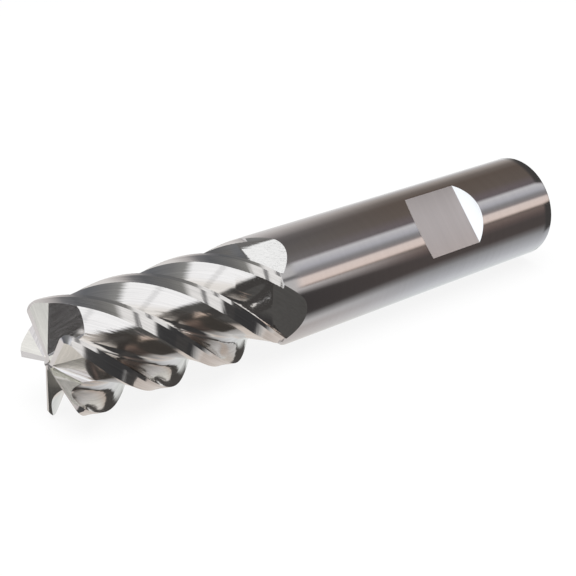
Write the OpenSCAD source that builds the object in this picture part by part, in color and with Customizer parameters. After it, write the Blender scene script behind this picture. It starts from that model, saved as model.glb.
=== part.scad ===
// Five-tooth end mill with rounded tooth corners, a right-hand helix, right-hand
// cut and a cylindrical shank with one side-lock flat.
//
// The tool lies along X. The centre of the shank's end face is the origin,
// the cutting end points towards -X and +Z is up.

/* [Cutting end] */
// Diameter of the cutting edges and of the shank
tool_d = 19.05; // [16:0.05:24]
// Number of teeth round the tool
teeth = 5; // [4:1:6]
// Helix angle of the flutes, right hand
helix_angle = 45; // [35:1:48]
// Length of the cutting edges along the axis
cut_length = 38.1; // [25:0.1:50]
// Diameter of the solid core between the flutes
core_d = 10.3; // [9:0.1:11.5]
// Radial rake angle at the cutting edge
rake_angle = 9; // [0:1:14]
// Width of the narrow first relief behind each edge
first_relief_w = 0.8; // [0.4:0.05:1.4]
// Depth of the first relief at its far side
first_relief_drop = 0.12; // [0.05:0.01:0.25]
// Angle round the axis from a cutting edge back to its heel
heel_angle = 21.5; // [16:0.5:24]
// Depth of the heel below the cutting diameter
heel_drop = 0.53; // [0.4:0.05:1.4]
// Length of the flutes, up to where the last of the runout leaves the surface
flute_length = 41.7; // [30:0.1:43]
// Slope of the runout's floor to the axis
runout_angle = 24.6; // [20:0.1:35]
// Angle from a cutting edge ahead to the middle of the runout at its far end
runout_facing = 51; // [40:1:60]

/* [End teeth] */
// Radius on the corner of each tooth
corner_r = 2; // [0.4:0.1:2.5]
// Distance from the axis ahead to the line of an end edge
end_edge_ahead = 0.35; // [0:0.05:0.8]
// Angle by which an end edge lags behind the line of its helical edge
end_edge_lag = 5; // [0:0.5:8]
// Dish angle that hollows the end towards the axis
dish_angle = 2; // [0.5:0.5:4]
// Width of the first end relief behind an end edge
end_relief_w = 1.3; // [0.8:0.1:2]
// Angle of the first end relief
end_relief_angle = 12; // [5:1:15]
// Angle of the second end relief
end_clearance_angle = 33; // [20:1:38]
// Angle of the gash floor to the end plane
gash_angle = 45; // [35:1:50]
// Distance from the axis at which the gash floor leaves the end plane
gash_start = 0.3; // [0.1:0.1:1.8]
// Angle from an end edge back to the way in which its gash floor falls
gash_turn = 28; // [20:1:34]
// Axial rake that the gash gives to the inner end edges
gash_rake = 4; // [0:1:15]
// Rounding in the root of a gash
gash_root_r = 0.4; // [0.2:0.1:0.8]

/* [Shank] */
// Overall length of the tool
overall_length = 101.6; // [92:0.1:125]
// Length of the head, up to the ground butt joint with the shank
head_length = 44.45; // [43.5:0.05:46]
// Chamfer round the end of the shank
shank_chamfer = 0.6; // [0.3:0.1:1.2]

/* [Clamping flat] */
// Length of the flat's floor along the shank
flat_length = 11.56; // [9:0.01:14]
// Depth of the flat below the shank's surface
flat_depth = 1.905; // [1.2:0.005:2.2]
// Distance from the shank's end to the middle of the flat
flat_from_end = 25.8; // [20:0.1:30]
// Slope of the flat's two end walls
flat_end_angle = 45; // [30:1:60]
// Tilt of the flat towards the front as the tool lies, above level
flat_tilt = 42; // [0:1:90]
// Turn from the flat to the nearest tooth corner at the end face
tooth_turn = -14; // [-36:0.1:36]

/* [Hidden] */
$fn = 96;

blank_r = tool_d / 2;
// The edges are ground just under the skin of the blank
cut_r = blank_r - 0.01;
core_r = core_d / 2;
pitch_angle = 360 / teeth;
// Turn of the helix for each unit of length along the axis, in degrees
helix_turn = tan(helix_angle) / cut_r * 180 / PI;
// How far cutting tools reach past the blank
over = 2.5;

// Flute outline: rake and root in one curve, then the floor up to the surface
rake_steps = 8;
floor_steps = 5;
root_offset = 1.9;
rake_pull = 0.64 * (cut_r - core_r);
root_pull = 0.5 * (cut_r - core_r);
floor_end_angle = 55 * pitch_angle / 72;
// The runout turns with the helix but never closer to the edge than this
runout_least_facing = 20;
// Angle by which the runout is wider than the flute at its far end
runout_spread = 7;
floor_belly = 0.25;
// Length between two rings of the swept cutters
ring_step = 1.25;
runout_rings = 8;
// Half-width of the rounding between the floors of the flute and the runout
runout_blend = 0.5;
// Angle behind an end edge that its reliefs cover
end_sector = pitch_angle;

// Angle from the flat to the seam of the shank's round wall
seam_turn = 142.5;

function polar(r, a) = [r * cos(a), r * sin(a)];

function bezier(p, t) =
    pow(1 - t, 3) * p[0] + 3 * pow(1 - t, 2) * t * p[1]
    + 3 * (1 - t) * t * t * p[2] + t * t * t * p[3];

// Outline of a flute in the plane across the axis. The cutting edge lies on
// +X and the flute opens towards +Y, ahead of the edge.
function flute_outline(end_angle) =
    let (edge = [cut_r, 0],
         root = [core_r, root_offset],
         rim = polar(cut_r, end_angle),
         floor_way = (rim - root) / norm(rim - root),
         belly = floor_belly * [floor_way[1], -floor_way[0]],
         rake_curve = [edge, edge - rake_pull * polar(1, rake_angle),
                       root - root_pull * floor_way, root],
         floor_curve = [root, root + (rim - root) / 3 + belly,
                        root + (rim - root) * 2 / 3 + belly, rim])
    concat(
        [edge + over * polar(1, rake_angle)],
        [for (i = [0 : rake_steps]) bezier(rake_curve, i / rake_steps)],
        [for (i = [1 : floor_steps]) bezier(floor_curve, i / floor_steps)],
        [rim + over * floor_way],
        [polar(cut_r + over, end_angle / 2)]);

// Outline of the relief behind an edge: a narrow first relief, then a steeper
// second one down to the heel. It opens away from the flute.
function relief_outline() =
    let (edge = [cut_r, 0],
         first = polar(cut_r - first_relief_drop, -first_relief_w / cut_r * 180 / PI),
         heel = polar(cut_r - heel_drop, -heel_angle),
         past = heel + (heel - first) * 0.7)
    [edge + 0.5 * (edge - first), polar(cut_r + over, -heel_angle / 2),
     polar(cut_r + over, -heel_angle - 14), past, heel, first];

// Distance along an outline's own direction that moves its point out to the
// floor of the runout, a plane that climbs to the surface. The corner between
// the plane and the flute is rounded.
function runout_push(p, z, way) =
    let (gap = cut_r - (flute_length - z) * tan(runout_angle) - p * way)
    gap < -runout_blend ? 0
    : gap > runout_blend ? gap
    : pow(gap + runout_blend, 2) / (4 * runout_blend);

// The flute's outline in the runout, from its start at 0 to its far end at 1
function runout_outline(part, z) =
    let (way = polar(1, max(runout_least_facing, runout_facing - helix_turn * (flute_length - z))))
    [for (p = flute_outline(floor_end_angle + runout_spread * part))
        p + runout_push(p, z, way) * way];

// A ring of a swept cutter: the outline turned with the helix
function ring(outline, z) =
    [for (p = outline)
        let (turn = helix_turn * z - atan2(p[1], p[0]))
        [norm(p) * cos(turn), norm(p) * sin(turn), z]];

// Closed skin over rings of equal size
module skin(rings) {
    n = len(rings[0]);
    m = len(rings);
    polyhedron(
        points = [for (r = rings) each r],
        faces = concat(
            [[for (j = [0 : n - 1]) j]],
            [for (i = [0 : m - 2], j = [0 : n - 1]) each
                let (a = i * n + j,
                     b = i * n + (j + 1) % n,
                     c = a + n,
                     d = b + n)
                [[a, c, b], [b, c, d]]],
            [[for (j = [n - 1 : -1 : 0]) (m - 1) * n + j]]),
        convexity = 6);
}

module flute_cutter() {
    outline = flute_outline(floor_end_angle);
    full = flute_length - blank_r / tan(runout_angle) / 2;
    full_rings = ceil((full + over) / ring_step);
    end = flute_length + 0.4;
    skin(concat(
        [for (i = [0 : full_rings - 1]) ring(outline, -over + (full + over) * i / full_rings)],
        [for (i = [0 : runout_rings])
            let (part = i / runout_rings,
                 z = full + (end - full) * part)
            ring(runout_outline(part, z), z)]));
}

module relief_cutter() {
    outline = relief_outline();
    relief_rings = ceil((cut_length + over) / ring_step);
    skin([for (i = [0 : relief_rings])
        ring(outline, -over + (cut_length + over) * i / relief_rings)]);
}

// Wedge ahead of an end edge, between the edge's own face and the gash floor.
// Three copies of the wheel's rounded rim, laid along the root, span the wedge.
module gash() {
    lean = tan(gash_rake);
    fall = tan(gash_angle);
    floor_way = polar(fall, gash_turn);
    root_fall = floor_way[0] / (1 - floor_way[1] * lean);
    root_way = [1, root_fall * lean, root_fall];
    face_in = [0, -1, lean] / norm([1, lean]);
    floor_in = [floor_way[0], floor_way[1], -1] / norm([fall, 1]);
    rim = gash_root_r * (face_in + floor_in) / (1 + face_in * floor_in);
    start = [gash_start * fall / floor_way[0], 0, 0] - root_way * over * 2;
    hull()
        for (shift = [[0, 0, 0], [0, -lean, -1] * blank_r, [0, -1, -floor_way[1]] * blank_r * 2])
            translate(start + rim + shift)
                rotate([0, acos(root_way[2] / norm(root_way)), atan2(root_way[1], root_way[0])])
                    cylinder(h = 4 * blank_r, r = gash_root_r, $fn = 16);
}

// One end relief: the space in front of a plane that falls away behind the end
// edge, spanned by thin posts at the corners of the tooth's sector.
module end_relief(setback, start_drop, angle) {
    reach = blank_r + over;
    corners = [[0, setback], [reach, setback],
               polar(reach * 1.2, end_sector / 2), polar(reach, end_sector)];
    hull()
        for (p = corners)
            translate([p[0], p[1], (cut_r - p[0]) * tan(dish_angle) + start_drop
                                   + (p[1] - setback) * tan(angle) - reach])
                cylinder(h = reach, r = 0.01, $fn = 4);
}

module blank() {
    rotate_extrude()
        polygon(concat(
            [[0, head_length], [0, 0]],
            [for (a = [0 : 15 : 90]) [blank_r - corner_r * (1 - sin(a)), corner_r * (1 - cos(a))]],
            [[blank_r, head_length]]));
}

// Lays the tool down: the axis along X, the shank's end face at the origin
module lay() {
    translate([-overall_length, 0, 0])
        rotate([0, 90, 0])
            rotate([0, 0, -(90 + flat_tilt)])
                children();
}

module cutting_head() {
    color("#b9b7b8")
        lay()
            difference() {
                blank();
                for (i = [0 : teeth - 1])
                    rotate([0, 0, tooth_turn + i * pitch_angle]) {
                        flute_cutter();
                        relief_cutter();
                        rotate([0, 0, end_edge_lag]) translate([0, -end_edge_ahead, 0]) {
                            gash();
                            end_relief(0, 0, end_relief_angle);
                            end_relief(end_relief_w, end_relief_w * tan(end_relief_angle), end_clearance_angle);
                        }
                    }
            }
}

module flat_cutter() {
    floor_r = blank_r - flat_depth;
    rise = flat_depth + over;
    spread = rise / tan(flat_end_angle);
    half = flat_length / 2;
    translate([floor_r, 0, overall_length - flat_from_end])
        rotate([90, 0, 0])
            translate([0, 0, -blank_r])
                linear_extrude(2 * blank_r)
                    polygon([[0, -half], [rise, -half - spread], [rise, half + spread], [0, half]]);
}

// The revolve starts on the far side, so its seam stays clear of the flat
module shank() {
    color("#a59b98")
        lay()
            difference() {
                rotate([0, 0, seam_turn])
                    rotate_extrude()
                        polygon([[0, head_length], [blank_r, head_length],
                                 [blank_r, overall_length - shank_chamfer],
                                 [blank_r - shank_chamfer, overall_length], [0, overall_length]]);
                flat_cutter();
            }
}

cutting_head();
shank();
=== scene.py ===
"""End mill: a ground cutting head with five helical teeth on a cylindrical shank with one flat."""

import math
from types import SimpleNamespace

import bpy
import numpy as np
from mathutils import Matrix, Vector


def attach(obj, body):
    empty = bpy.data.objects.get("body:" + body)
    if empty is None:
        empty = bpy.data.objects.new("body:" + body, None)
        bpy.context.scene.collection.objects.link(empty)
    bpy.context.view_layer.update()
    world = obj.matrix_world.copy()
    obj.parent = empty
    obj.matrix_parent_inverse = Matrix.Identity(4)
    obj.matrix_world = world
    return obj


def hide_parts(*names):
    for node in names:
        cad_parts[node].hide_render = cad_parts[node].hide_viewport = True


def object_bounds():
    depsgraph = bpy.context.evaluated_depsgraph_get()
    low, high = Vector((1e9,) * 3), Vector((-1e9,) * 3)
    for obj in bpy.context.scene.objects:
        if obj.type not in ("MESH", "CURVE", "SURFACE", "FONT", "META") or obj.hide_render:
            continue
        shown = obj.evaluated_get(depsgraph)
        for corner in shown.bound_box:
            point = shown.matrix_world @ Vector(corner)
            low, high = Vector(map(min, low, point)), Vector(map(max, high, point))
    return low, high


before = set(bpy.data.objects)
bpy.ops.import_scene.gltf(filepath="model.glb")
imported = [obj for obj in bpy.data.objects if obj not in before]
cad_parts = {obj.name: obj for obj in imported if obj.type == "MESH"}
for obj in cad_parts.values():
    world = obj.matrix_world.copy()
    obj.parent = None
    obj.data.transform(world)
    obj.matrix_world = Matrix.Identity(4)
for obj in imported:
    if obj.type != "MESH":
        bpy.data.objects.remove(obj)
CAD_BOX = [list(map(float, corner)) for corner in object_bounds()]

bl_info = {
    "name": "End mill",
    "version": (1, 0, 0),
    "blender": (4, 5, 0),
    "location": "3D View > Sidebar > End mill",
    "description": "Grinds the cutting head, turns the shank and sets up the light",
    "category": "Add Mesh",
}

MM = 0.001
# How far grinding wheels reach past the blank, in millimetres
OVER = 2.5
# Two faces that meet at more than this keep a sharp edge
SHARP_ANGLE = math.radians(24)


# ---------------------------------------------------------------- sizes and colours


def length(name, description, default_mm):
    """A length whose default is given in millimetres."""
    return bpy.props.FloatProperty(
        name=name, description=description, default=default_mm * MM, unit="LENGTH", precision=5
    )


def angle(name, description, default_degrees):
    """An angle whose default is given in degrees."""
    return bpy.props.FloatProperty(
        name=name, description=description, default=math.radians(default_degrees), unit="ROTATION"
    )


def colour(name, description, default):
    """A colour with channels from 0 to 1."""
    return bpy.props.FloatVectorProperty(
        name=name, description=description, default=default, subtype="COLOR", size=3, min=0, max=1
    )


def share(name, description, default):
    """A part of a whole, from 0 to 1."""
    return bpy.props.FloatProperty(
        name=name, description=description, default=default, subtype="FACTOR", min=0, max=1
    )


class EndMillHeadSizes(bpy.types.PropertyGroup):
    """Sizes of the cutting head."""

    tool_d: length("Tool diameter", "Across the cutting edges and the shank", 19.05)
    teeth: bpy.props.IntProperty(name="Teeth", description="Teeth round the tool", default=5)
    helix_angle: angle("Helix angle", "Of the flutes, right hand", 45)
    cut_length: length("Length of cut", "Cutting edges along the axis", 38.1)
    core_d: length("Core diameter", "Solid core between the flutes", 10.3)
    rake_angle: angle("Radial rake", "At the cutting edge", 9)
    first_relief_w: length("First relief width", "Behind each helical edge", 0.8)
    first_relief_drop: length("First relief drop", "At the relief's far side", 0.12)
    heel_angle: angle("Heel angle", "Round the axis from an edge back to its heel", 21.5)
    heel_drop: length("Heel drop", "Depth of the heel below the edges", 0.53)
    flute_length: length("Flute length", "Up to the end of the last runout", 41.7)
    runout_angle: angle("Runout slope", "Slope of a runout's floor to the axis", 24.6)
    runout_facing: angle("Runout facing", "From an edge ahead to the runout's middle", 51)
    corner_r: length("Corner radius", "On the corner of each tooth", 2)
    head_length: length("Head length", "Up to the joint with the shank", 44.45)
    tooth_turn: angle("Tooth turn", "From the flat to the nearest corner", -14)


class EndMillToothSizes(bpy.types.PropertyGroup):
    """Sizes of the teeth on the end."""

    edge_ahead: length("Edge ahead", "From the axis to the line of an end edge", 0.35)
    edge_lag: angle("Edge lag", "End edge behind its helical edge", 5)
    dish_angle: angle("Dish", "Hollows the end towards the axis", 2)
    relief_w: length("End relief width", "Behind an end edge", 1.3)
    relief_angle: angle("End relief", "Angle of the first end relief", 12)
    clearance_angle: angle("End clearance", "Angle of the second end relief", 33)
    gash_angle: angle("Gash angle", "Gash floor to the end plane", 45)
    gash_start: length("Gash start", "From the axis to the start of its floor", 0.3)
    gash_turn: angle("Gash turn", "From the end edge to the way the floor falls", 28)
    gash_rake: angle("Gash rake", "Axial rake of the inner end edges", 4)
    gash_root_r: length("Gash root radius", "Rounding in the root of a gash", 0.4)


class EndMillShankSizes(bpy.types.PropertyGroup):
    """Sizes of the shank and its clamping flat."""

    overall_length: length("Overall length", "Of the whole tool", 101.6)
    chamfer: length("Chamfer", "Round the end of the shank", 0.6)
    flat_length: length("Flat length", "The flat's floor along the shank", 11.56)
    flat_depth: length("Flat depth", "Below the shank's surface", 1.905)
    flat_from_end: length("Flat from end", "Shank's end to the flat's middle", 25.8)
    flat_end_angle: angle("End walls", "Slope of the flat's end walls", 45)
    flat_tilt: angle("Flat tilt", "Towards the front as the tool lies", 42)


class EndMillFinish(bpy.types.PropertyGroup):
    """Colours and finish of the steel, with painted light on the flat's end walls and a painted
    reflection on the end clearance, and the tone of the light.
    """

    shank_steel: colour("Shank steel", "Cylindrically ground shank", (0.62, 0.6, 0.6))
    flute_steel: colour("Flute steel", "Polished flutes", (0.76, 0.725, 0.69))
    land_steel: colour("Land steel", "Reliefs behind the edges", (0.74, 0.72, 0.705))
    end_steel: colour("End steel", "Reliefs and gashes of the end teeth", (0.8, 0.77, 0.75))
    # The end clearance is lighter and yellower than the other end faces. This is a painted reflection
    # of warm light, on top of the steel's own colour.
    clearance_steel_and_painted_reflection: colour("Clearance steel and painted reflection", "Clearance behind the end teeth", (0.88, 0.86, 0.79))
    flat_steel: colour("Flat steel", "Milled floor of the clamping flat", (0.79, 0.735, 0.71))
    # The end walls' nearly white colour is painted light. It stands for the brightness of the sloped
    # walls where they catch the light, on top of the steel's own colour.
    wall_steel_and_painted_light: colour("Flat wall steel and painted light", "Sloped end walls of the clamping flat", (0.95, 0.95, 0.94))
    shank_roughness: share("Shank roughness", "Of the ground cylinder", 0.11)
    flute_roughness: share("Flute roughness", "Of the polished flutes", 0.1)
    paper: colour("Floor", "Colour of the floor and the background", (0.95, 0.95, 0.95))
    lamp_power: bpy.props.FloatProperty(
        name="Lamp power", description="Of the large soft lamp", default=2.0, unit="POWER"
    )


# ---------------------------------------------------------------- surfaces


def plain(group):
    """The sizes of a group as plain numbers: lengths in millimetres, angles in radians."""
    values = {}
    for key in group.__annotations__:
        metres = group.bl_rna.properties[key].unit == "LENGTH"
        values[key] = getattr(group, key) / MM if metres else getattr(group, key)
    return SimpleNamespace(**values)


def polar(r, a):
    """Points (r cos a, r sin a)."""
    return np.stack(np.broadcast_arrays(r * np.cos(a), r * np.sin(a)), -1)


def bezier(p, t):
    """Cubic through p0 and p3: (1-t)^3 p0 + 3(1-t)^2 t p1 + 3(1-t) t^2 p2 + t^3 p3."""
    t = t[:, None]
    p = [np.asarray(point)[..., None, :] for point in p]
    return (1 - t) ** 3 * p[0] + 3 * (1 - t) ** 2 * t * p[1] + 3 * (1 - t) * t**2 * p[2] + t**3 * p[3]


def new_piece(name, points, blocks, finishes):
    """A mesh object from an array of points and blocks (faces, finish of each face).

    The signed volume is the sum of a . (b x c) / 6 over a fan of triangles in each face. Where
    it is negative, all faces are turned round, so that they point outwards.
    """
    volume = 0.0
    for faces, _ in blocks:
        a = points[faces[:, 0]]
        for k in range(1, faces.shape[1] - 1):
            volume += np.einsum("ij,ij->", a, np.cross(points[faces[:, k]], points[faces[:, k + 1]]))
    turn = -1 if volume < 0 else 1
    mesh = bpy.data.meshes.new(name)
    mesh.from_pydata(points.tolist(), [], [row for f, _ in blocks for row in f[:, ::turn].tolist()])
    for finish in finishes:
        mesh.materials.append(finish)
    which = np.concatenate([np.broadcast_to(slot, len(faces)) for faces, slot in blocks])
    mesh.polygons.foreach_set("material_index", which.astype(np.int32))
    mesh.validate()
    piece = bpy.data.objects.new(name, mesh)
    bpy.context.scene.collection.objects.link(piece)
    return piece


def skin(name, rings, finishes, slots):
    """Closed skin over a grid of rings (ring, point, xyz), with a flat cap on each end ring.

    slots gives the finish of each strip of faces, from point to point round the rings.
    """
    m, n = rings.shape[:2]
    i = np.arange(m - 1)[:, None] * n
    j = np.arange(n)[None, :]
    k = (j + 1) % n
    sides = np.stack([i + j, i + n + j, i + n + k, i + k], -1).reshape(-1, 4)
    strips = np.broadcast_to(slots, (m - 1, n)).reshape(-1)
    caps = np.stack([np.arange(n), (m - 1) * n + np.arange(n)[::-1]])
    return new_piece(name, rings.reshape(-1, 3), [(sides, strips), (caps, strips[0])], finishes)


def lathe(name, profile, steps, finishes):
    """Solid of revolution: (r cos a, r sin a, z) for a profile (r, z) that starts and ends on
    the axis, where each end is one pole point."""
    a = np.arange(steps) * 2 * math.pi / steps
    inner = profile[1:-1]
    m = len(inner)
    grid = np.concatenate(
        [polar(inner[:, :1], a[None, :]), np.repeat(inner[:, None, 1:], steps, 1)], -1
    )
    points = np.vstack([grid.reshape(-1, 3), [[0, 0, profile[0, 1]], [0, 0, profile[-1, 1]]]])
    i = np.arange(m - 1)[:, None] * steps
    j = np.arange(steps)[None, :]
    k = (j + 1) % steps
    sides = np.stack([i + j, i + steps + j, i + steps + k, i + k], -1).reshape(-1, 4)
    j, k = j[0], k[0]
    first = np.stack([np.full(steps, m * steps), j, k], -1)
    last = np.stack([np.full(steps, m * steps + 1), (m - 1) * steps + k, (m - 1) * steps + j], -1)
    return new_piece(name, points, [(sides, 0), (first, 0), (last, 0)], finishes)


def turned(points, a):
    """Points turned by the angle a about the tool's axis: x cos a - y sin a, x sin a + y cos a."""
    c, s = math.cos(a), math.sin(a)
    return points @ np.array([[c, s, 0], [-s, c, 0], [0, 0, 1]])


def positions(mesh):
    """The mesh's points as an array of x, y, z."""
    points = np.empty(len(mesh.vertices) * 3)
    mesh.vertices.foreach_get("co", points)
    return points.reshape(-1, 3)


def lay_down(piece, shank):
    """Lays the standing tool along X: a turn of -(90 + tilt) about its axis, then (x, y, z)
    goes to (z - overall length, y, -x), from millimetres to metres."""
    p = turned(positions(piece.data), -(math.pi / 2 + shank.flat_tilt))
    p = np.stack([p[:, 2] - shank.overall_length, p[:, 1], -p[:, 0]], -1) * MM
    piece.data.vertices.foreach_set("co", p.reshape(-1))
    piece.data.update()


def cut_away(blank, cutters):
    """Takes the cutters away from the blank one after another. A cut face keeps the finish of
    its cutter."""
    fewest_faces = 100
    for cutter in cutters:
        cut = blank.modifiers.new("cut", "BOOLEAN")
        cut.operation = "DIFFERENCE"
        cut.solver = "MANIFOLD"
        cut.material_mode = "TRANSFER"
        cut.object = cutter
        depsgraph = bpy.context.evaluated_depsgraph_get()
        finished = bpy.data.meshes.new_from_object(blank.evaluated_get(depsgraph))
        rough = blank.data
        blank.modifiers.clear()
        blank.data = finished
        bpy.data.meshes.remove(rough)
        bpy.data.meshes.remove(cutter.data)
    if len(blank.data.polygons) < fewest_faces:
        raise RuntimeError(f"{blank.name} was cut away")


def sharpen(mesh, corner_angle):
    """Smooth faces, with a sharp edge where two faces meet at more than an angle or where two
    finishes meet."""
    mesh.polygons.foreach_set("use_smooth", np.ones(len(mesh.polygons), bool))
    mesh.set_sharp_from_angle(angle=corner_angle)
    sides = np.empty(len(mesh.polygons), np.int32)
    slots = np.empty(len(mesh.polygons), np.int32)
    edges = np.empty(len(mesh.loops), np.int32)
    sharp = np.empty(len(mesh.edges), bool)
    mesh.polygons.foreach_get("loop_total", sides)
    mesh.polygons.foreach_get("material_index", slots)
    mesh.loops.foreach_get("edge_index", edges)
    mesh.edges.foreach_get("use_edge_sharp", sharp)
    slots = np.repeat(slots, sides)
    low = np.full(len(mesh.edges), len(mesh.materials))
    high = np.full(len(mesh.edges), -1)
    np.minimum.at(low, edges, slots)
    np.maximum.at(high, edges, slots)
    mesh.edges.foreach_set("use_edge_sharp", sharp | (low != high))


# ---------------------------------------------------------------- cutting head

CYLINDER, FLUTE, FIRST_RELIEF, SECOND_RELIEF, GASH, END_RELIEF, END_CLEARANCE = range(7)


def helix_rings(outline, z, turn):
    """Outlines carried along the axis and turned with the helix. A point p of the outline at
    the distance z goes to (|p| cos a, |p| sin a, z) with a = turn z - atan2(p.y, p.x)."""
    outline = np.broadcast_to(outline, (len(z),) + outline.shape[-2:])
    a = turn * z[:, None] - np.arctan2(outline[..., 1], outline[..., 0])
    r = np.hypot(outline[..., 0], outline[..., 1])
    return np.concatenate([polar(r, a), np.broadcast_to(z[:, None, None], a.shape + (1,))], -1)


def flute_cutter(name, head, finishes):
    """The wheel's way through a flute. Its outline across the axis is a cubic from the cutting
    edge down the rake to the root, then a cubic along the floor up to the surface. In the
    runout each point moves out to a plane that climbs to the surface; the corner between flute
    and plane is rounded by (gap + blend)^2 / (4 blend) within blend of it."""
    # The step between rings, the number of them in the runout and its length past the flute
    ring_step, runout_rings, runout_extra = 0.45, 60, 0.4
    # Where the floor reaches the surface, in degrees ahead of the edge, and how much further in
    # the runout; how far ahead of the edge the root lies
    rim_degrees, rim_growth, root_ahead = 55, 7, 1.9
    # The handles of the rake's cubic at the edge and at the root, in depths of the flute, and
    # how far the floor is hollowed
    edge_handle, root_handle, hollow = 0.64, 0.5, 0.25
    # The rounding into the runout, and the least angle ahead of the edge that it faces
    blend, least_facing = 0.5, math.radians(20)
    full = head.flute_length - head.blank_r / math.tan(head.runout_angle) / 2
    end = head.flute_length + runout_extra
    z = np.concatenate([np.arange(-OVER, full, ring_step), np.linspace(full, end, runout_rings)])
    part = np.clip((z - full) / (end - full), 0, 1)
    cut_r, core_r = head.cut_r, head.core_d / 2
    end_angle = np.radians(rim_degrees + rim_growth * part)
    edge = np.array([cut_r, 0.0])
    root = np.array([core_r, root_ahead])
    rim = polar(cut_r, end_angle)
    way = rim - root
    way /= np.linalg.norm(way, axis=-1, keepdims=True)
    belly = hollow * np.stack([way[:, 1], -way[:, 0]], -1)
    rake = polar(1, np.array(head.rake_angle))
    m = len(z)

    def same(point):
        return np.broadcast_to(point, (m, 2))

    depth = cut_r - core_r
    face = bezier(
        [
            same(edge),
            same(edge - edge_handle * depth * rake),
            root - root_handle * depth * way,
            same(root),
        ],
        np.linspace(0, 1, 29),
    )
    floor = bezier(
        [same(root), root + (rim - root) / 3 + belly, root + (rim - root) * 2 / 3 + belly, rim],
        np.linspace(0, 1, 19)[1:],
    )
    past_edge = same(edge + OVER * rake)[:, None]
    past_rim = (rim + OVER * way)[:, None]
    outside = polar(cut_r + OVER, end_angle / 2)[:, None]
    outline = np.concatenate([past_edge, face, floor, past_rim, outside], 1)

    facing = head.runout_facing - head.helix_turn * (head.flute_length - z)
    way = polar(1, np.maximum(least_facing, facing))[:, None]
    lift = cut_r - (head.flute_length - z) * math.tan(head.runout_angle)
    gap = lift[:, None] - (outline * way).sum(-1)
    rounded = np.clip(gap + blend, 0, None) ** 2 / (4 * blend)
    push = np.where(gap > blend, gap, rounded)
    outline = outline + push[..., None] * way
    return skin(name, helix_rings(outline, z, head.helix_turn), finishes, FLUTE)


def relief_cutter(name, head, finishes):
    """The wheel's way behind an edge: a narrow first relief, then a steeper second one down to
    the heel, both straight across and turned with the helix."""
    cut_r = head.cut_r
    edge = np.array([cut_r, 0.0])
    first = polar(cut_r - head.first_relief_drop, np.array(-head.first_relief_w / cut_r))
    heel = polar(cut_r - head.heel_drop, np.array(-head.heel_angle))
    past_heel = head.heel_angle + math.radians(14)
    # How far the lines of the reliefs run on past the edge and the heel, as shares of their width
    edge_overrun, heel_overrun = 0.5, 0.7
    outline = np.array([
        edge + edge_overrun * (edge - first),
        polar(cut_r + OVER, np.array(-head.heel_angle / 2)),
        polar(cut_r + OVER, np.array(-past_heel)),
        heel + heel_overrun * (heel - first),
        heel,
        first,
    ])
    z = np.linspace(-OVER, head.cut_length, 80)
    slots = np.array([FIRST_RELIEF, CYLINDER, CYLINDER, SECOND_RELIEF, SECOND_RELIEF, FIRST_RELIEF])
    return skin(name, helix_rings(outline, z, head.helix_turn), finishes, slots)


def root_way(tooth):
    """Way in which the root of a gash falls: in its leaning face x = 1, y = f tan(rake),
    z = f, where f is the floor's fall along it."""
    lean = math.tan(tooth.gash_rake)
    floor = polar(math.tan(tooth.gash_angle), np.array(tooth.gash_turn))
    fall = floor[0] / (1 - floor[1] * lean)
    return np.array([1, fall * lean, fall]), floor, lean


def gash_cutter(name, head, tooth, finishes):
    """The wheel's way into the end ahead of an edge: a profile of the edge's own face, a
    rounded root and the gash floor, carried along the straight root."""
    way, floor, lean = root_way(tooth)
    along = way / np.linalg.norm(way)
    sides = np.array([[0, -lean, -1], [0, -1, -floor[1]]])
    sides -= (sides @ along)[:, None] * along
    sides /= np.linalg.norm(sides, axis=1)[:, None]
    between = math.acos(float(sides[0] @ sides[1]))
    middle = sides.sum(0) / np.linalg.norm(sides.sum(0))
    r = tooth.gash_root_r
    centre = middle * r / math.sin(between / 2)
    across = np.cross(along, middle)
    half = (math.pi - between) / 2
    a = np.linspace(-half, half, 13)[:, None]
    arc = centre - r * (np.cos(a) * middle + np.sin(a) * across)
    if (arc[0] - arc[-1]) @ (sides[0] - sides[1]) < 0:
        arc = arc[::-1]
    big = 2 * head.blank_r
    profile = np.vstack([sides[0] * big, arc, sides[1] * 2 * big])
    start = np.array([tooth.gash_start * math.tan(tooth.gash_angle) / floor[0], 0, 0])
    steps = np.array([-2 * OVER, 2.0 * big])[:, None, None]
    return skin(name, start + steps * way + profile[None], finishes, GASH)


def end_relief_cutter(name, head, tooth, setback, drop, a, finishes, slot):
    """The space in front of a plane that falls away behind an end edge: z up to
    (r - x) tan(dish) + drop + (y - setback) tan(a) over the tooth's sector."""
    reach = head.blank_r + OVER
    far_reach = 1.2 * reach
    pitch = 2 * math.pi / head.teeth
    corners = np.array([
        [0, setback],
        [reach, setback],
        polar(far_reach, np.array(pitch / 2)),
        polar(reach, np.array(pitch)),
    ])
    rise = (head.cut_r - corners[:, 0]) * math.tan(tooth.dish_angle)
    z = rise + drop + (corners[:, 1] - setback) * math.tan(a)
    levels = np.stack([z, z - reach])
    rings = np.concatenate([np.broadcast_to(corners, (2, 4, 2)), levels[..., None]], -1)
    return skin(name, rings, finishes, slot)


def place(piece, a, shift=0.0, lag=0.0):
    """Moves a cutter by shift across its edge, turns it by lag, then to its tooth at a."""
    p = turned(positions(piece.data) - [0, shift, 0], a + lag)
    piece.data.vertices.foreach_set("co", p.reshape(-1))
    piece.data.update()
    return piece


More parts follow.
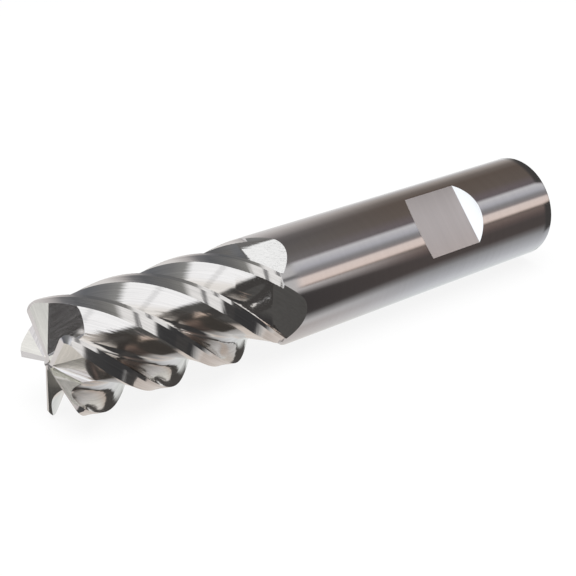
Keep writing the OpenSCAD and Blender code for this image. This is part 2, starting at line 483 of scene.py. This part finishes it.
def grain_of(mesh, head, tooth):
    """For each corner of the faces, where it lies along and across the grinding marks, in
    millimetres. On flutes and lands the marks follow the helix: along is z, and across is the
    place in the section turned back by the helix. On gashes they follow the root, and on end
    reliefs the end edge."""
    sides = np.empty(len(mesh.polygons), np.int32)
    slots = np.empty(len(mesh.polygons), np.int32)
    corners = np.empty(len(mesh.loops), np.int32)
    centres = np.empty(len(mesh.polygons) * 3)
    mesh.polygons.foreach_get("loop_total", sides)
    mesh.polygons.foreach_get("material_index", slots)
    mesh.polygons.foreach_get("center", centres)
    mesh.loops.foreach_get("vertex_index", corners)
    centres = np.repeat(centres.reshape(-1, 3), sides, 0)
    slots = np.repeat(slots, sides)
    p = positions(mesh)[corners]

    r = np.hypot(p[:, 0], p[:, 1])
    back = head.helix_turn * p[:, 2] - np.arctan2(p[:, 1], p[:, 0])
    helical = np.concatenate([p[:, 2:], polar(r, back)], -1)

    # The angle of the end edge that each face belongs to: a gash lies ahead of its edge, a
    # relief behind it, and a face may reach past it by a small share of the pitch
    pitch, slack = 2 * math.pi / head.teeth, 0.02
    a = (np.arctan2(centres[:, 1], centres[:, 0]) - head.tooth_turn - tooth.edge_lag) / pitch
    a = np.where(slots == GASH, np.ceil(a - slack), np.floor(a + slack)) * pitch
    a += head.tooth_turn + tooth.edge_lag
    c, s = np.cos(a), np.sin(a)
    own = np.stack([p[:, 0] * c + p[:, 1] * s, p[:, 1] * c - p[:, 0] * s, p[:, 2]], -1)
    way = root_way(tooth)[0]
    way = way / np.linalg.norm(way)
    level = np.cross(way, [0, 1, 0])
    level /= np.linalg.norm(level)
    in_gash = np.stack([own @ way, own @ np.cross(level, way), own @ level], -1)
    grain = np.where((slots == GASH)[:, None], in_gash, own)
    grain = np.where((slots < GASH)[:, None], helical, grain)
    layer = mesh.attributes.new("grain", "FLOAT_VECTOR", "CORNER")
    layer.data.foreach_set("vector", grain.astype(np.float32).reshape(-1))


def build_head(sizes, finishes):
    """The blank with its flutes, reliefs, gashes and end reliefs ground away."""
    head, tooth, shank = (plain(group) for group in (sizes.head, sizes.tooth, sizes.shank))
    # The edges lie a hair under the blank's surface, so that none of it is left on them
    hair = 0.01
    head.blank_r = head.tool_d / 2
    head.cut_r = head.blank_r - hair
    head.helix_turn = math.tan(head.helix_angle) / head.cut_r
    a = np.linspace(0, math.pi / 2, 13)
    corner = np.stack([
        head.blank_r - head.corner_r * (1 - np.sin(a)),
        head.corner_r * (1 - np.cos(a)),
    ], -1)
    far = [[head.blank_r, z] for z in np.linspace(head.corner_r, head.head_length, 24)[1:]]
    profile = np.vstack([[[0, 0]], corner, far, [[0, head.head_length]]])
    piece = lathe("ground_head", profile, steps=240, finishes=finishes)
    drop = tooth.relief_w * math.tan(tooth.relief_angle)
    for i in range(head.teeth):
        at = head.tooth_turn + i * 2 * math.pi / head.teeth
        on_end = [
            gash_cutter("gash", head, tooth, finishes),
            end_relief_cutter(
                "end_relief", head, tooth, 0, 0, tooth.relief_angle, finishes, END_RELIEF
            ),
            end_relief_cutter(
                "end_clearance", head, tooth, tooth.relief_w, drop, tooth.clearance_angle,
                finishes, END_CLEARANCE,
            ),
        ]
        cut_away(piece, [
            place(flute_cutter("flute", head, finishes), at),
            place(relief_cutter("relief", head, finishes), at),
            *[place(cutter, at, tooth.edge_ahead, tooth.edge_lag) for cutter in on_end],
        ])
    grain_of(piece.data, head, tooth)
    sharpen(piece.data, SHARP_ANGLE)
    lay_down(piece, shank)
    return piece


# ---------------------------------------------------------------- shank

FLAT_FLOOR, FLAT_WALL = 1, 2


def build_shank(sizes, finishes):
    """The ground cylinder with a chamfered end, cut by a prism whose outline is the flat's
    floor and its two sloped end walls."""
    head, shank = plain(sizes.head), plain(sizes.shank)
    r, end, c = head.tool_d / 2, shank.overall_length, shank.chamfer
    # Both edges of the chamfer are eased: a point this far before the edge, and one past it
    before, inward, onward = 0.08, 0.03, 0.04
    wall = [[r, z] for z in np.linspace(head.head_length, end - c - before, 30)]
    profile = np.array([
        [0, head.head_length],
        *wall,
        [r - inward, end - c + onward],
        [r - c + onward, end - inward],
        [r - c - before, end],
        [0, end],
    ])
    piece = lathe("ground_shank", profile, steps=288, finishes=finishes)
    rise = shank.flat_depth + OVER
    spread = rise / math.tan(shank.flat_end_angle)
    half = shank.flat_length / 2
    outline = np.array([[0, -half], [rise, -half - spread], [rise, half + spread], [0, half]])
    middle = end - shank.flat_from_end
    depth = r - shank.flat_depth + outline[:, 0]
    ring = np.stack([depth, np.zeros(len(outline)), middle + outline[:, 1]], -1)
    rings = ring[None] + np.array([-r, r])[:, None, None] * np.array([0, 1, 0])
    slots = np.array([FLAT_WALL, FLAT_WALL, FLAT_WALL, FLAT_FLOOR])
    cut_away(piece, [skin("flat", rings, finishes, slots)])
    sharpen(piece.data, SHARP_ANGLE)
    lay_down(piece, shank)
    return piece


# ---------------------------------------------------------------- finishes


class Value:
    """A number or vector that varies over a surface: a socket on which sums are written."""

    def __init__(self, nodes, socket):
        self.nodes, self.socket = nodes, socket

    def __add__(self, other):
        return self.nodes.maths("ADD", self, other)

    def __radd__(self, other):
        return self.nodes.maths("ADD", other, self)

    def __sub__(self, other):
        return self.nodes.maths("SUBTRACT", self, other)

    def __rsub__(self, other):
        return self.nodes.maths("SUBTRACT", other, self)

    def __mul__(self, other):
        return self.nodes.maths("MULTIPLY", self, other)

    def __rmul__(self, other):
        return self.nodes.maths("MULTIPLY", other, self)

    def __truediv__(self, other):
        return self.nodes.maths("DIVIDE", self, other)

    def __rtruediv__(self, other):
        return self.nodes.maths("DIVIDE", other, self)


class Nodes:
    """The node tree of a material or of the world."""

    def __init__(self, tree):
        self.tree = tree
        tree.nodes.clear()

    def add(self, kind, settings=None, sockets=None, output=0):
        """Adds a node of a type, sets its settings, then its sockets, and returns an output."""
        node = self.tree.nodes.new(kind)
        for key, value in (settings or {}).items():
            if key == "stops":
                self.set_stops(node.color_ramp, value)
            else:
                setattr(node, key, value)
        for key, value in (sockets or {}).items():
            socket = node.inputs[key]
            if isinstance(value, Value):
                self.tree.links.new(value.socket, socket)
            else:
                socket.default_value = value
        return Value(self, node.outputs[output]) if len(node.outputs) else None

    @staticmethod
    def set_stops(ramp, stops):
        """Puts stops (position, rgb) on a colour ramp."""
        while len(ramp.elements) < len(stops):
            ramp.elements.new(1)
        for element, (position, rgb) in zip(ramp.elements, stops):
            element.position, element.color = position, (*rgb, 1)

    def maths(self, operation, a, b=0.0):
        return self.add("ShaderNodeMath", {"operation": operation}, {0: a, 1: b})

    def least(self, a, b):
        return self.maths("MINIMUM", a, b)

    def most(self, a, b):
        return self.maths("MAXIMUM", a, b)

    def stretch(self, vector, by):
        return self.add("ShaderNodeVectorMath", {"operation": "MULTIPLY"}, {0: vector, 1: by})

    def split(self, vector):
        first = self.add("ShaderNodeSeparateXYZ", {}, {0: vector})
        return [Value(self, socket) for socket in first.socket.node.outputs]

    def mix(self, factor, a, b):
        return self.add(
            "ShaderNodeMix", {"data_type": "RGBA", "clamp_factor": True}, {0: factor, 6: a, 7: b}, 2
        )

    def noise(self, vector, detail):
        sockets = {"Vector": vector, "Scale": 1.0, "Detail": detail}
        return self.add("ShaderNodeTexNoise", {}, sockets)

    def glow(self, rgba):
        """A shader that gives off a colour as it is written, whatever light falls on it."""
        return self.add("ShaderNodeEmission", {}, {"Color": rgba, "Strength": 1.0})

    def end(self, shader):
        self.add("ShaderNodeOutputMaterial", {}, {0: shader})


def tone(rgb, by=1.0):
    """A colour made lighter or darker, opaque, with no channel past 1."""
    return (*[min(1.0, c * by) for c in rgb], 1)


def new_material(name):
    """A material and its empty node tree."""
    material = bpy.data.materials.new(name)
    material.use_nodes = True
    return material, Nodes(material.node_tree)


# How many fine and how many wide grinding marks there are along x, y and z: to a metre of the
# tool, where they run round its axis, or to a millimetre of the corner attribute, where they run
# along its x
MARKS = {
    "object": ((9000, 90, 90), (900, 25, 25)),
    "grain": ((0.25, 9, 9), (0.15, 3, 3)),
}


def ground_steel(name, rgb, roughness, grain, marks, waves, darker):
    """Ground steel. Noise drawn out along the grinding marks makes them: it varies the
    roughness and the tone a little and tips the surface by a few micrometres.

    grain is "object" for marks round the axis, or the corner attribute "grain"; marks is the
    height of the fine marks and waves that of the wider ones, in micrometres; darker is the
    darkest tone in the marks, as a share of the colour."""
    material, nodes = new_material(name)
    if grain == "object":
        spot = nodes.add("ShaderNodeTexCoord", output=3)
    else:
        spot = nodes.add("ShaderNodeAttribute", {"attribute_name": grain}, output=1)
    fine_marks, wide_marks = MARKS[grain]
    fine = nodes.noise(nodes.stretch(spot, fine_marks), 2)
    wide = nodes.noise(nodes.stretch(spot, wide_marks), 3)
    deep = marks + waves
    height = fine * (marks / deep) + wide * (waves / deep)
    bump_sockets = {"Strength": 1.0, "Distance": deep * 1e-6, "Height": height}
    bump = nodes.add("ShaderNodeBump", {}, bump_sockets)
    wide_tone, fine_tone = 1.6, 0.8
    shade = (wide - 0.5) * wide_tone + (fine - 0.5) * fine_tone + 0.5
    base = nodes.mix(shade, tone(rgb, darker), tone(rgb, 2 - darker))
    rough = roughness * (0.8 + 0.4 * fine)
    steel = {"Base Color": base, "Metallic": 1.0, "Roughness": rough, "Normal": bump}
    nodes.end(nodes.add("ShaderNodeBsdfPrincipled", {}, steel))
    return material


# ---------------------------------------------------------------- stage

# Tones of the light tent's cloth, in degrees round the tool's axis: 0 is level in front, 90
# overhead and -90 below. The head mirrors its near part and the shank its far part.
NEAR_CLOTH = [
    (-180, (0.80, 0.78, 0.77)),
    (-160, (0.64, 0.62, 0.60)),
    (-130, (0.72, 0.67, 0.63)),
    (-100, (0.70, 0.64, 0.60)),
    (-75, (0.62, 0.56, 0.52)),
    (-60, (0.90, 0.89, 0.88)),
    (-40, (1.00, 1.00, 1.00)),
    (56, (0.96, 0.96, 0.96)),
    (66, (0.27, 0.27, 0.26)),
    (85, (0.19, 0.19, 0.19)),
    (115, (0.14, 0.145, 0.155)),
    (130, (0.22, 0.22, 0.23)),
    (145, (0.55, 0.53, 0.53)),
    (165, (0.80, 0.78, 0.77)),
    (180, (0.80, 0.78, 0.77)),
]
FAR_CLOTH = [
    (-180, (0.72, 0.71, 0.71)),
    (-165, (0.98, 0.99, 0.99)),
    (-140, (0.91, 0.94, 0.94)),
    (-120, (0.80, 0.84, 0.85)),
    (-96, (0.76, 0.79, 0.83)),
    (-70, (0.56, 0.58, 0.61)),
    (-50, (0.38, 0.39, 0.40)),
    (-6, (0.20, 0.15, 0.14)),
    (9, (0.24, 0.19, 0.17)),
    (20, (0.08, 0.078, 0.078)),
    (60, (0.08, 0.078, 0.078)),
    (72, (0.21, 0.18, 0.19)),
    (90, (0.18, 0.15, 0.13)),
    (128, (0.16, 0.13, 0.11)),
    (146, (0.23, 0.20, 0.18)),
    (160, (0.43, 0.39, 0.36)),
    (172, (0.56, 0.54, 0.53)),
    (180, (0.68, 0.67, 0.67)),
]

# The same for a narrow lit strip beside the shank
STRIP_LIGHT = [
    (15, (0.26, 0.21, 0.18)),
    (19, (1.05, 0.90, 0.82)),
    (30, (1.02, 0.90, 0.84)),
    (33, (0.33, 0.30, 0.30)),
    (40, (0.33, 0.33, 0.34)),
    (47, (0.60, 0.61, 0.66)),
    (58, (0.80, 0.81, 0.83)),
    (63, (0.24, 0.21, 0.22)),
]

# Cards inside the tent: degrees round the axis and towards the shank, width round the axis,
# height along it, both in degrees, and tone
CARDS = [
    ("white_card", 108, -0.5, 34, 9, (1.1, 1.15, 1.2)),
    ("black_card", 10, -66, 32, 14, (0.04, 0.036, 0.034)),
]


# The tent reaches from before the cutting end to past the shank, and the strip lies beside the
# shank: both ends along the axis, and the distance from it, in metres
TENT_NEAR, TENT_FAR, TENT_R = -0.7, 0.9, 0.4
STRIP_NEAR, STRIP_FAR, STRIP_R = -0.043, 0.05, 0.035

# Angles towards the shank are seen from a point on the axis, with 0 square to it: for the tent
# and the cards near the cutting end, and for the black hem in the last flute. The hem also has
# its distance from the axis and its tone
HEAD_POINT = -0.09
HEM_POINT, HEM_R, HEM_TONE = -0.0705, 0.032, (0.065, 0.063, 0.063)

# Where the tent's near cloth gives way to its far cloth, and the width of the change, in metres
FAR_AT, FAR_FADE = 0.16, 0.14

# The tent's black flag ends towards the cutting end at the angle bend (a + start)^2 - reach,
# where a is the angle round the axis. It has one tone before the cutting end, one beside the
# tool and one past the shank
FLAG_START, FLAG_REACH, FLAG_BEND = math.radians(75), math.radians(33), 0.258
FLAG_TONES = [(0.095, 0.095, 0.095, 1), (0.05, 0.05, 0.052, 1), (0.105, 0.09, 0.086, 1)]

# The seam in the tent's cloth and its dark far end
SEAM_TONE = (0.12, 0.12, 0.125, 1)
DARK_END_TONE = (0.075, 0.072, 0.07, 1)

# The share of its own light in the paper that the camera sees
PAPER_GLOW = 0.86


def sheet(name, points, faces, material):
    """A mesh object from an array of points and arrays of faces, in one material."""
    mesh = bpy.data.meshes.new(name)
    mesh.from_pydata(points.tolist(), [], [row for block in faces for row in block.tolist()])
    mesh.materials.append(material)
    piece = bpy.data.objects.new(name, mesh)
    bpy.context.scene.collection.objects.link(piece)
    return piece


def build_floor(paper):
    """A round sheet under the tool: points (r cos a, r sin a, level)."""
    steps = 96
    gap = 0.0002
    level = CAD_BOX[0][2] - gap
    a = np.arange(steps) * 2 * math.pi / steps
    r = np.array([0.05, 0.2, 0.6, 1.6])[:, None]
    grid = np.concatenate([polar(r, a[None]), np.full((len(r), steps, 1), level)], -1)
    points = np.vstack([grid.reshape(-1, 3), [[0, 0, level]]])
    i = np.arange(len(r) - 1)[:, None] * steps
    j = np.arange(steps)[None]
    k = (j + 1) % steps
    rings = np.stack([i + j, i + steps + j, i + steps + k, i + k], -1).reshape(-1, 4)
    middle = np.stack([np.full(steps, len(r) * steps), j[0], k[0]], -1)
    return sheet("floor", points, [rings, middle], paper)


def on_tube(x, radius, a):
    """Points (x, -R cos a, R sin a) on a tube round the tool's axis."""
    return np.stack(np.broadcast_arrays(x, -radius * np.cos(a), radius * np.sin(a)), -1)


def band(name, rows, material):
    """A strip of faces between two rows of points."""
    n = rows.shape[1]
    j = np.arange(n - 1)
    faces = np.stack([j, j + n, j + n + 1, j + 1], -1)
    return sheet(name, rows.reshape(-1, 3), [faces], material)


def build_tent():
    """A tube of cloth round the tool, closed at both ends."""
    steps = 144
    j = np.arange(steps)
    k = (j + 1) % steps
    walls = on_tube(np.array([[TENT_NEAR], [TENT_FAR]]), TENT_R, j * 2 * math.pi / steps)
    points = np.vstack([walls.reshape(-1, 3), [[TENT_NEAR, 0, 0], [TENT_FAR, 0, 0]]])
    wall = np.stack([j, j + steps, k + steps, k], -1)
    near_end = np.stack([np.full(steps, 2 * steps), j, k], -1)
    far_end = np.stack([np.full(steps, 2 * steps + 1), j + steps, k + steps], -1)
    return sheet("light_tent", points, [wall, near_end, far_end], tent_material())


def build_strip():
    """A lit strip beside the shank, part of a tube, over the angles of its table of tones."""
    a = np.radians(np.linspace(STRIP_LIGHT[0][0], STRIP_LIGHT[-1][0], 25))
    rows = on_tube(np.array([[STRIP_NEAR], [STRIP_FAR]]), STRIP_R, a)
    return band("strip_light", rows, strip_material())


def build_hem():
    """A narrow black sheet, part of a tube close to the last flute, from 62 degrees below
    level to 20 above. Its edge follows the flag's, seen from the hem's own point on the axis."""
    width = math.radians(14)
    a = np.radians(np.linspace(-62, 20, 31))
    low = (a + FLAG_START) ** 2 * FLAG_BEND - FLAG_REACH
    x = HEM_POINT + HEM_R * np.tan(np.stack([low, low + width]))
    return band("black_hem", on_tube(x, HEM_R, a), lit("black_hem", HEM_TONE))


def build_card(name, around, along, width, height, rgb):
    """A flat card inside the tent that faces the cutting head."""
    distance = 0.3
    a, b = np.radians(around), np.radians(along)
    out = np.array([math.sin(b), -math.cos(b) * math.cos(a), math.cos(b) * math.sin(a)])
    side = np.array([0, math.sin(a), math.cos(a)])
    wide, high = distance * np.tan(np.radians([width / 2, height / 2]))
    middle = np.array([HEAD_POINT, 0, 0]) + distance * out
    wide, high = side * wide, np.cross(out, side) * high
    low, top = middle - high, middle + high
    corners = np.array([low - wide, low + wide, top + wide, top - wide])
    return sheet(name, corners, [np.array([[0, 1, 2, 3]])], lit(name, rgb))


def lit(name, rgb):
    """Material of one tone, that no lamp changes."""
    material, nodes = new_material(name)
    nodes.end(nodes.glow((*rgb, 1)))
    return material


def paper_material(rgb):
    """White paper that keeps the tool's shadow: part of its light is its own."""
    material, nodes = new_material("paper")
    own = nodes.glow((1, 1, 1, 1))
    matt = nodes.add("ShaderNodeBsdfDiffuse", {}, {"Color": tone(rgb)})
    camera = nodes.add("ShaderNodeLightPath", output="Is Camera Ray")
    nodes.end(nodes.add("ShaderNodeMixShader", {}, {0: camera * PAPER_GLOW, 1: matt, 2: own}))
    return material


def round_axis(nodes):
    """Place along the tool's axis, and the angle round it in radians."""
    x, y, z = nodes.split(nodes.add("ShaderNodeTexCoord", output=3))
    return x, nodes.maths("ARCTAN2", z, 0 - y)


def cloth_tones(nodes, around, tones):
    """The tone at an angle round the axis, from a table of degrees and tones."""
    stops = [((degrees + 180) / 360, rgb) for degrees, rgb in tones]
    return nodes.add("ShaderNodeValToRGB", {"stops": stops}, {0: around / (2 * math.pi) + 0.5})


def strip_material():
    """Light whose tone follows the angle round the tool's axis."""
    material, nodes = new_material("strip_light")
    nodes.end(nodes.glow(cloth_tones(nodes, round_axis(nodes)[1], STRIP_LIGHT)))
    return material


def tent_cloth(nodes, x, around, along, far):
    """The cloth without its flag: tones round the axis, brighter beyond the cutting end, with
    a dark seam above level that sinks and pales towards the cutting end."""
    front_at, front_fade, front_tint = -0.18, 0.06, (1.14, 1.18, 1.24)
    seam_at, seam_fade, seam_core = math.radians(37), 0.07, 1.3
    sink_from, sink_share = math.radians(5), 0.6
    palest, darkest, depth_at_head, depth_fade = 0.2, 0.85, 0.6, 0.45
    near_cloth, far_cloth = [cloth_tones(nodes, around, tones) for tones in (NEAR_CLOTH, FAR_CLOTH)]
    front_cloth = nodes.stretch(near_cloth, front_tint)
    front = (front_at - x) / front_fade
    cloth = nodes.mix(front, nodes.mix(far, near_cloth, far_cloth), front_cloth)
    sunk = nodes.least(along - sink_from, 0.0) * sink_share
    aside = nodes.maths("ABSOLUTE", around - sunk - seam_at)
    depth = nodes.least(darkest, nodes.most(palest, depth_at_head + along / depth_fade))
    return nodes.mix(nodes.least(depth, seam_core - aside / seam_fade), cloth, SEAM_TONE)


def tent_flag(nodes, around, along, far):
    """How much of the flag there is, from 0 outside to 1 inside its soft edges, and its tone.

    It hangs from 13 degrees above level to 70 below, and less far both ways past the shank.
    Towards the cutting end it goes on under the tool and up behind it."""
    top, top_far, top_fade, top_fade_far = math.radians(13), 0.12, 0.1, 0.22
    foot, foot_far, foot_fade = math.radians(5), math.radians(18), 0.35
    under_from, under_fade = math.radians(6), 0.12
    behind, behind_fade, front_fade = math.radians(128), 0.1, 0.08
    tone_from, tone_fade = 0.1, 0.26
    low = around + FLAG_START
    front = (along + FLAG_REACH - low * low * FLAG_BEND) / front_fade
    lower = (low - foot - far * foot_far) / foot_fade
    lower = nodes.most(lower, (under_from - along) / under_fade)
    upper = (top - far * top_far - around) / (far * top_fade_far + top_fade)
    sides = nodes.least(nodes.least(lower, upper), (around + behind) / behind_fade)
    black = nodes.mix((along + tone_from) / tone_fade, FLAG_TONES[0], FLAG_TONES[1])
    return nodes.least(sides, front), nodes.mix(far, black, FLAG_TONES[2])


def tent_end(nodes, x, around):
    """How dark the tent is past the shank: its closed end all round, and the tube before it
    everywhere but below."""
    below, open_half, aside_fade = math.radians(92), math.radians(30), 0.15
    dark_at, dark_fade, closed_at, closed_fade = 0.42, 0.06, 0.85, 0.05
    aside = (nodes.maths("ABSOLUTE", around + below) - open_half) / aside_fade
    tube = nodes.least((x - dark_at) / dark_fade, aside)
    return nodes.most(tube, (x - closed_at) / closed_fade)


def tent_material():
    """Cloth whose tone follows the angle round the tool's axis, with a black flag hung low in
    front and a dark far end. Places along the axis are in metres and angles in radians, and
    each edge is divided by the width over which it fades."""
    material, nodes = new_material("tent_cloth")
    x, around = round_axis(nodes)
    along = nodes.maths("ARCTAN2", x - HEAD_POINT, TENT_R)
    far = nodes.least(nodes.most((x - FAR_AT) / FAR_FADE, 0.0), 1.0)
    cloth = tent_cloth(nodes, x, around, along, far)
    flag, black = tent_flag(nodes, around, along, far)
    shade = nodes.mix(flag, cloth, black)
    nodes.end(nodes.glow(nodes.mix(tent_end(nodes, x, around), shade, DARK_END_TONE)))
    return material


def set_world():
    """White where the camera, metal or glass sees it, and soft grey light on matt things."""
    world = bpy.data.worlds.new("studio")
    bpy.context.scene.world = world
    world.use_nodes = True
    nodes = Nodes(world.node_tree)
    camera = nodes.add("ShaderNodeLightPath", output="Is Camera Ray")
    glossy = nodes.add("ShaderNodeLightPath", output="Is Glossy Ray")
    clear = nodes.add("ShaderNodeLightPath", output="Is Transmission Ray")
    seen = nodes.least(camera + glossy + clear, 1.0)
    soft_light = 0.75
    light = nodes.add("ShaderNodeBackground", {}, {"Color": (1, 1, 1, 1), "Strength": soft_light})
    white = nodes.add("ShaderNodeBackground", {}, {"Color": (1, 1, 1, 1), "Strength": 1.0})
    shader = nodes.add("ShaderNodeMixShader", {}, {0: seen, 1: light, 2: white})
    nodes.add("ShaderNodeOutputWorld", {}, {0: shader})


def set_camera():
    """The camera in front of the cutting end, a little above the tool, level sideways."""
    camera = bpy.data.cameras.new("camera")
    camera.lens, camera.sensor_width = 74.6875, 36
    camera.clip_start, camera.clip_end = 0.01, 20
    stand = bpy.data.objects.new("camera", camera)
    bpy.context.scene.collection.objects.link(stand)
    spot = (-0.169101, -0.141451, 0.084971)
    across, up = math.radians(-38.5913), math.radians(25.4106)
    back = Vector((math.sin(across) * math.cos(up), -math.cos(across) * math.cos(up), math.sin(up)))
    right = Vector((math.cos(across), math.sin(across), 0))
    turn = Matrix((right, back.cross(right), back)).transposed().to_4x4()
    stand.matrix_world = Matrix.Translation(spot) @ turn
    bpy.context.scene.camera = stand


def set_lamp(name, spot, size, power):
    """A square soft lamp that faces the middle of the tool. Only matt things and shadows see
    it, because polished steel mirrors the tent."""
    lamp = bpy.data.lights.new(name, "AREA")
    lamp.energy, lamp.size = power, size
    stand = bpy.data.objects.new(name, lamp)
    bpy.context.scene.collection.objects.link(stand)
    tool_middle = Vector((-0.05, 0, 0))
    turn = (Vector(spot) - tool_middle).to_track_quat("Z", "Y").to_matrix().to_4x4()
    stand.matrix_world = Matrix.Translation(spot) @ turn
    stand.visible_glossy = False


# ---------------------------------------------------------------- operators


class EndMillSizes(bpy.types.PropertyGroup):
    """All sizes and finishes of the tool."""

    head: bpy.props.PointerProperty(type=EndMillHeadSizes)
    tooth: bpy.props.PointerProperty(type=EndMillToothSizes)
    shank: bpy.props.PointerProperty(type=EndMillShankSizes)
    finish: bpy.props.PointerProperty(type=EndMillFinish)


class ENDMILL_OT_grind_head(bpy.types.Operator):
    """Grind the cutting head out of its blank"""

    bl_idname = "endmill.grind_head"
    bl_label = "Grind cutting head"

    def execute(self, context):
        sizes = context.scene.end_mill
        finish = sizes.finish
        polish = finish.flute_roughness
        rows = [
            ("ground_cylinder", finish.shank_steel, finish.shank_roughness, "object", 0.03, 0.02, 0.97),
            ("polished_flute", finish.flute_steel, polish * 0.8, "grain", 1.5, 14, 0.92),
            ("first_relief", finish.land_steel, polish * 1.1, "grain", 0.3, 0.5, 0.88),
            ("second_relief", finish.land_steel, polish * 1.1, "grain", 0.4, 1.5, 0.88),
            ("gash_steel", finish.end_steel, polish * 1.6, "grain", 2, 9, 0.8),
            ("end_relief_steel", finish.end_steel, polish * 2.5, "grain", 0.3, 0.6, 0.95),
            # Pale yellow end clearance: painted reflection on the steel
            ("end_clearance_steel", finish.clearance_steel_and_painted_reflection, polish * 2.5, "grain", 0.3, 0.8, 0.9),
        ]
        piece = build_head(sizes, [ground_steel(*row) for row in rows])
        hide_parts("cutting_head")
        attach(piece, "root")
        return {"FINISHED"}


class ENDMILL_OT_turn_shank(bpy.types.Operator):
    """Turn and grind the shank and mill its clamping flat"""

    bl_idname = "endmill.turn_shank"
    bl_label = "Turn shank"

    def execute(self, context):
        sizes = context.scene.end_mill
        finish = sizes.finish
        rows = [
            ("ground_shank", finish.shank_steel, finish.shank_roughness, "object", 0.03, 0.02, 0.97),
            ("milled_flat", finish.flat_steel, 0.38, "object", 0.1, 0.1, 0.96),
            # Nearly white end walls: painted light on the steel
            ("flat_end_wall", finish.wall_steel_and_painted_light, 0.12, "object", 0.1, 0.1, 0.98),
        ]
        piece = build_shank(sizes, [ground_steel(*row) for row in rows])
        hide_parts("shank")
        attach(piece, "root")
        return {"FINISHED"}


class ENDMILL_OT_set_stage(bpy.types.Operator):
    """Set the floor, the light tent, the lamp, the world and the camera"""

    bl_idname = "endmill.set_stage"
    bl_label = "Set stage"

    def execute(self, context):
        finish = context.scene.end_mill.finish
        floor = build_floor(paper_material(finish.paper))
        floor.visible_glossy = False
        tent = build_tent()
        cards = [*[build_card(*card) for card in CARDS], build_strip(), build_hem()]
        for kind in ("camera", "diffuse", "transmission", "volume_scatter", "shadow"):
            for cloth in (tent, *cards):
                setattr(cloth, "visible_" + kind, False)
        set_lamp("top_lamp", (-0.1, -0.1, 0.5), 0.5, finish.lamp_power)
        set_world()
        set_camera()
        context.scene.view_settings.view_transform = "Standard"
        return {"FINISHED"}


class ENDMILL_PT_tools(bpy.types.Panel):
    """The steps of the end mill, in order"""

    bl_label = "End mill"
    bl_idname = "ENDMILL_PT_tools"
    bl_space_type = "VIEW_3D"
    bl_region_type = "UI"
    bl_category = "End mill"

    def draw(self, context):
        for operator in (ENDMILL_OT_grind_head, ENDMILL_OT_turn_shank, ENDMILL_OT_set_stage):
            self.layout.operator(operator.bl_idname)
        for group in ("head", "tooth", "shank", "finish"):
            box = self.layout.box()
            box.label(text=group.capitalize())
            values = getattr(context.scene.end_mill, group)
            for key in values.__annotations__:
                box.prop(values, key)


CLASSES = (
    EndMillHeadSizes,
    EndMillToothSizes,
    EndMillShankSizes,
    EndMillFinish,
    EndMillSizes,
    ENDMILL_OT_grind_head,
    ENDMILL_OT_turn_shank,
    ENDMILL_OT_set_stage,
    ENDMILL_PT_tools,
)


def register():
    for cls in CLASSES:
        bpy.utils.register_class(cls)
    bpy.types.Scene.end_mill = bpy.props.PointerProperty(type=EndMillSizes)


def unregister():
    del bpy.types.Scene.end_mill
    for cls in reversed(CLASSES):
        bpy.utils.unregister_class(cls)


def main():
    register()
    bpy.ops.endmill.grind_head()
    bpy.ops.endmill.turn_shank()
    bpy.ops.endmill.set_stage()


if __name__ == "__main__":
    main()
